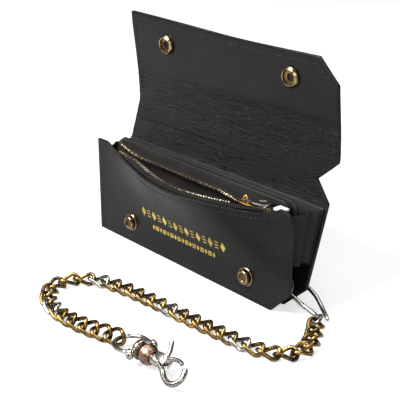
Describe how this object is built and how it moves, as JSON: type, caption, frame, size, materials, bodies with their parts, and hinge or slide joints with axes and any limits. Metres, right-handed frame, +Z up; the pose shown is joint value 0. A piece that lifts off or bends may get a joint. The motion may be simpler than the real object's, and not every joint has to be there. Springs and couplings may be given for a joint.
{
  "type": "chain wallet",
  "caption": "Long black leather wallet with an open zipped front pocket, a snap flap standing up, and a brass curb chain ending in a swivel trigger snap.",
  "frame": {"origin": "on the resting surface under the middle of the folded base", "axes": "+X to the right along the width, -Y towards the zipped front, +Z up"},
  "size_m": [0.2179, 0.1417, 0.1467],
  "materials": {
    "leather_black": "smooth semi-gloss near-black leather, burnished edges",
    "leather_inner": "matt grained dark leather",
    "zip_cloth": "woven zip tape",
    "antique_brass": "antiqued, dark in the hollows",
    "bright_brass": "polished",
    "aged_silver": "nickel-plated, worn",
    "copper_dome": "textured copper tone"
  },
  "bodies": {
    "back": {"back_panel": "leather_black", "inner_pocket": "leather_inner", "corner_eyelet": "aged_silver", "base_strip": "leather_black", "gusset_left": "leather_black", "gusset_right": "leather_black"},
    "spine": {"fold_spine": "leather_black"},
    "flap_body": {"flap": "leather_black", "snap_socket_left": "antique_brass", "snap_socket_right": "antique_brass", "snap_cap_left": "antique_brass", "snap_cap_right": "antique_brass"},
    "front_pocket": {"front_panel": "leather_black", "zip_pocket_back": "leather_inner", "zip_tape_front": "zip_cloth", "zip_tape_back": "zip_cloth", "snap_stud_left": "antique_brass", "snap_stud_right": "antique_brass"},
    "divider_body": {"divider": "leather_inner"},
    "slider": {"zip_slider": "bright_brass"},
    "pull": {"zip_pull": "aged_silver"},
    "hook": {"drop_hook": "aged_silver"},
    "bail_body": {"bail": "aged_silver"},
    "collar_body": {"swivel_collar": "aged_silver"},
    "snap_body": {"snap_hook": "aged_silver", "swivel_dome": "copper_dome", "trigger_pin": "aged_silver"},
    "trigger_body": {"trigger": "aged_silver"},
    "chain_01": {"link_01": "antique_brass"},
    "chain_02": {"link_02": "antique_brass"},
    "chain_03": {"link_03": "antique_brass"},
    "chain_04": {"link_04": "antique_brass"},
    "chain_05": {"link_05": "antique_brass"},
    "chain_06": {"link_06": "antique_brass"},
    "chain_07": {"link_07": "antique_brass"},
    "chain_08": {"link_08": "antique_brass"},
    "chain_09": {"link_09": "antique_brass"},
    "chain_10": {"link_10": "antique_brass"},
    "chain_11": {"link_11": "antique_brass"},
    "chain_12": {"link_12": "antique_brass"},
    "chain_13": {"link_13": "antique_brass"},
    "chain_14": {"link_14": "antique_brass"},
    "chain_15": {"link_15": "antique_brass"},
    "chain_16": {"link_16": "antique_brass"},
    "chain_17": {"link_17": "antique_brass"},
    "chain_18": {"link_18": "antique_brass"},
    "chain_19": {"link_19": "antique_brass"},
    "chain_20": {"link_20": "antique_brass"},
    "chain_21": {"link_21": "antique_brass"},
    "chain_22": {"link_22": "antique_brass"},
    "chain_23": {"link_23": "antique_brass"},
    "chain_24": {"link_24": "antique_brass"},
    "chain_25": {"link_25": "antique_brass"},
    "chain_26": {"link_26": "antique_brass"},
    "chain_27": {"link_27": "antique_brass"},
    "chain_28": {"link_28": "antique_brass"},
    "chain_29": {"link_29": "antique_brass"},
    "chain_30": {"link_30": "antique_brass"},
    "chain_31": {"link_31": "antique_brass"},
    "chain_32": {"link_32": "antique_brass"}
  },
  "joints": [
    {"name": "flap_fold", "type": "hinge", "parent": "back", "child": "spine", "pos_m": [0, 0.02342, 0.0633], "axis": [1, 0, 0], "range_deg": [0, 100], "deforming": ["front_panel", "zip_tape_front", "zip_tape_back", "gusset_left", "gusset_right"]},
    {"name": "flap_second_fold", "type": "hinge", "parent": "spine", "child": "flap_body", "pos_m": [0, 0.03067, 0.08618], "axis": [1, 0, 0], "range_deg": [0, 65.3]},
    {"name": "pocket_close", "type": "hinge", "parent": "back", "child": "front_pocket", "pos_m": [0, -0.004, 0], "axis": [1, 0, 0], "range_deg": [-10.7, 0]},
    {"name": "divider_close", "type": "hinge", "parent": "back", "child": "divider_body", "pos_m": [0, 0.0006, 0], "axis": [1, 0, 0], "range_deg": [-8, 0]},
    {"name": "zip_slide", "type": "slide", "parent": "front_pocket", "child": "slider", "axis": [-1, 0, 0], "range_m": [0, 0.104]},
    {"name": "pull_swing", "type": "hinge", "parent": "slider", "child": "pull", "pos_m": [0.0505, -0.0029, 0.06227], "axis": [0, -1, 0], "range_deg": [0, 165]},
    {"name": "hook_swing", "type": "hinge", "parent": "back", "child": "hook", "pos_m": [0.0755, 0.00833, 0.01144], "axis": [0, 0, 1], "range_deg": [-6, 7]},
    {"name": "link_01_turn", "type": "hinge", "parent": "hook", "child": "chain_01", "pos_m": [0.10728, -0.00129, 0.0038], "axis": [0, 0, 1], "range_deg": [-14, 22]},
    {"name": "link_02_turn", "type": "hinge", "parent": "chain_01", "child": "chain_02", "pos_m": [0.11276, -0.00876, 0.00372], "axis": [0, 0, -1], "range_deg": [-22, 14]},
    {"name": "link_03_turn", "type": "hinge", "parent": "chain_02", "child": "chain_03", "pos_m": [0.11785, -0.01656, 0.00355], "axis": [0, 0, 1], "range_deg": [-14, 22]},
    {"name": "link_04_turn", "type": "hinge", "parent": "chain_03", "child": "chain_04", "pos_m": [0.12132, -0.02512, 0.00338], "axis": [0, 0, -1], "range_deg": [-22, 5]},
    {"name": "link_05_turn", "type": "hinge", "parent": "chain_04", "child": "chain_05", "pos_m": [0.12093, -0.03404, 0.0033], "axis": [0, 0, 1], "range_deg": [0, 22]},
    {"name": "link_06_turn", "type": "hinge", "parent": "chain_05", "child": "chain_06", "pos_m": [0.11572, -0.04129, 0.0033], "axis": [0, 0, -1], "range_deg": [-22, 3]},
    {"name": "link_07_turn", "type": "hinge", "parent": "chain_06", "child": "chain_07", "pos_m": [0.10762, -0.04561, 0.0033], "axis": [0, 0, 1], "range_deg": [-15, 22]},
    {"name": "link_08_turn", "type": "hinge", "parent": "chain_07", "child": "chain_08", "pos_m": [0.09857, -0.04774, 0.0033], "axis": [0, 0, -1], "range_deg": [-22, 22]},
    {"name": "link_09_turn", "type": "hinge", "parent": "chain_08", "child": "chain_09", "pos_m": [0.08931, -0.04876, 0.0033], "axis": [0, 0, 1], "range_deg": [-22, 22]},
    {"name": "link_10_turn", "type": "hinge", "parent": "chain_09", "child": "chain_10", "pos_m": [0.08002, -0.04952, 0.0033], "axis": [0, 0, -1], "range_deg": [-22, 22]},
    {"name": "link_11_turn", "type": "hinge", "parent": "chain_10", "child": "chain_11", "pos_m": [0.0707, -0.0503, 0.0033], "axis": [0, 0, 1], "range_deg": [-22, 22]},
    {"name": "link_12_turn", "type": "hinge", "parent": "chain_11", "child": "chain_12", "pos_m": [0.06135, -0.05109, 0.0033], "axis": [0, 0, -1], "range_deg": [-22, 22]},
    {"name": "link_13_turn", "type": "hinge", "parent": "chain_12", "child": "chain_13", "pos_m": [0.05199, -0.05183, 0.0033], "axis": [0, 0, 1], "range_deg": [-22, 22]},
    {"name": "link_14_turn", "type": "hinge", "parent": "chain_13", "child": "chain_14", "pos_m": [0.04267, -0.05246, 0.0033], "axis": [0, 0, -1], "range_deg": [-22, 22]},
    {"name": "link_15_turn", "type": "hinge", "parent": "chain_14", "child": "chain_15", "pos_m": [0.03334, -0.05301, 0.0033], "axis": [0, 0, 1], "range_deg": [-22, 22]},
    {"name": "link_16_turn", "type": "hinge", "parent": "chain_15", "child": "chain_16", "pos_m": [0.02402, -0.05368, 0.0033], "axis": [0, 0, -1], "range_deg": [-22, 22]},
    {"name": "link_17_turn", "type": "hinge", "parent": "chain_16", "child": "chain_17", "pos_m": [0.01471, -0.05456, 0.0033], "axis": [0, 0, 1], "range_deg": [-22, 22]},
    {"name": "link_18_turn", "type": "hinge", "parent": "chain_17", "child": "chain_18", "pos_m": [0.00541, -0.05569, 0.0033], "axis": [0, 0, -1], "range_deg": [-22, 22]},
    {"name": "link_19_turn", "type": "hinge", "parent": "chain_18", "child": "chain_19", "pos_m": [-0.00377, -0.05733, 0.0033], "axis": [0, 0, 1], "range_deg": [-22, 22]},
    {"name": "link_20_turn", "type": "hinge", "parent": "chain_19", "child": "chain_20", "pos_m": [-0.0127, -0.05989, 0.0033], "axis": [0, 0, -1], "range_deg": [-14, 22]},
    {"name": "link_21_turn", "type": "hinge", "parent": "chain_20", "child": "chain_21", "pos_m": [-0.02091, -0.06413, 0.0033], "axis": [0, 0, 1], "range_deg": [-22, 10]},
    {"name": "link_22_turn", "type": "hinge", "parent": "chain_21", "child": "chain_22", "pos_m": [-0.02711, -0.07081, 0.0033], "axis": [0, 0, -1], "range_deg": [-3, 22]},
    {"name": "link_23_turn", "type": "hinge", "parent": "chain_22", "child": "chain_23", "pos_m": [-0.02961, -0.07948, 0.0033], "axis": [0, 0, 1], "range_deg": [-22, 0]},
    {"name": "link_24_turn", "type": "hinge", "parent": "chain_23", "child": "chain_24", "pos_m": [-0.0273, -0.08813, 0.0033], "axis": [0, 0, -1], "range_deg": [-2, 22]},
    {"name": "link_25_turn", "type": "hinge", "parent": "chain_24", "child": "chain_25", "pos_m": [-0.02115, -0.09491, 0.0033], "axis": [0, 0, 1], "range_deg": [-22, 11]},
    {"name": "link_26_turn", "type": "hinge", "parent": "chain_25", "child": "chain_26", "pos_m": [-0.01306, -0.0994, 0.0033], "axis": [0, 0, -1], "range_deg": [-16, 22]},
    {"name": "link_27_turn", "type": "hinge", "parent": "chain_26", "child": "chain_27", "pos_m": [-0.0041, -0.10189, 0.0033], "axis": [0, 0, 1], "range_deg": [-22, 20]},
    {"name": "link_28_turn", "type": "hinge", "parent": "chain_27", "child": "chain_28", "pos_m": [0.00518, -0.10284, 0.00348], "axis": [0, 0, -1], "range_deg": [-22, 22]},
    {"name": "link_29_turn", "type": "hinge", "parent": "chain_28", "child": "chain_29", "pos_m": [0.01453, -0.10264, 0.00384], "axis": [0, 0, 1], "range_deg": [-22, 22]},
    {"name": "link_30_turn", "type": "hinge", "parent": "chain_29", "child": "chain_30", "pos_m": [0.0238, -0.10161, 0.0042], "axis": [0, 0, -1], "range_deg": [-22, 22]},
    {"name": "link_31_turn", "type": "hinge", "parent": "chain_30", "child": "chain_31", "pos_m": [0.03294, -0.09993, 0.00456], "axis": [0, 0, 1], "range_deg": [-22, 22]},
    {"name": "link_32_turn", "type": "hinge", "parent": "chain_31", "child": "chain_32", "pos_m": [0.04202, -0.09777, 0.00492], "axis": [0, 0, -1], "range_deg": [-22, 22]},
    {"name": "bail_turn", "type": "hinge", "parent": "chain_32", "child": "bail_body", "pos_m": [0.05091, -0.09549, 0.0051], "axis": [0, 0, 1], "range_deg": [-16, 20]},
    {"name": "snap_lift", "type": "hinge", "parent": "bail_body", "child": "collar_body", "pos_m": [0.07019, -0.09722, 0.0073], "axis": [-0.0698, -0.9976, 0], "range_deg": [0, 60]},
    {"name": "snap_swivel", "type": "hinge", "parent": "collar_body", "child": "snap_body", "pos_m": [0.07019, -0.09722, 0.0073], "axis": [0.9976, -0.0698, 0], "continuous": true},
    {"name": "trigger_open", "type": "hinge", "parent": "snap_body", "child": "trigger_body", "pos_m": [0.08982, -0.09614, 0.00936], "axis": [0.0448, 0.6412, -0.766], "range_deg": [0, 26], "stiffness_Nm_per_rad": 0.02, "springref_deg": -11.46}
  ],
  "couplings": [
    {"joint": "flap_second_fold", "follows": "flap_fold", "ratio": 0.653},
    {"joint": "pocket_close", "follows": "flap_fold", "ratio": -0.107},
    {"joint": "divider_close", "follows": "flap_fold", "ratio": -0.08}
  ]
}
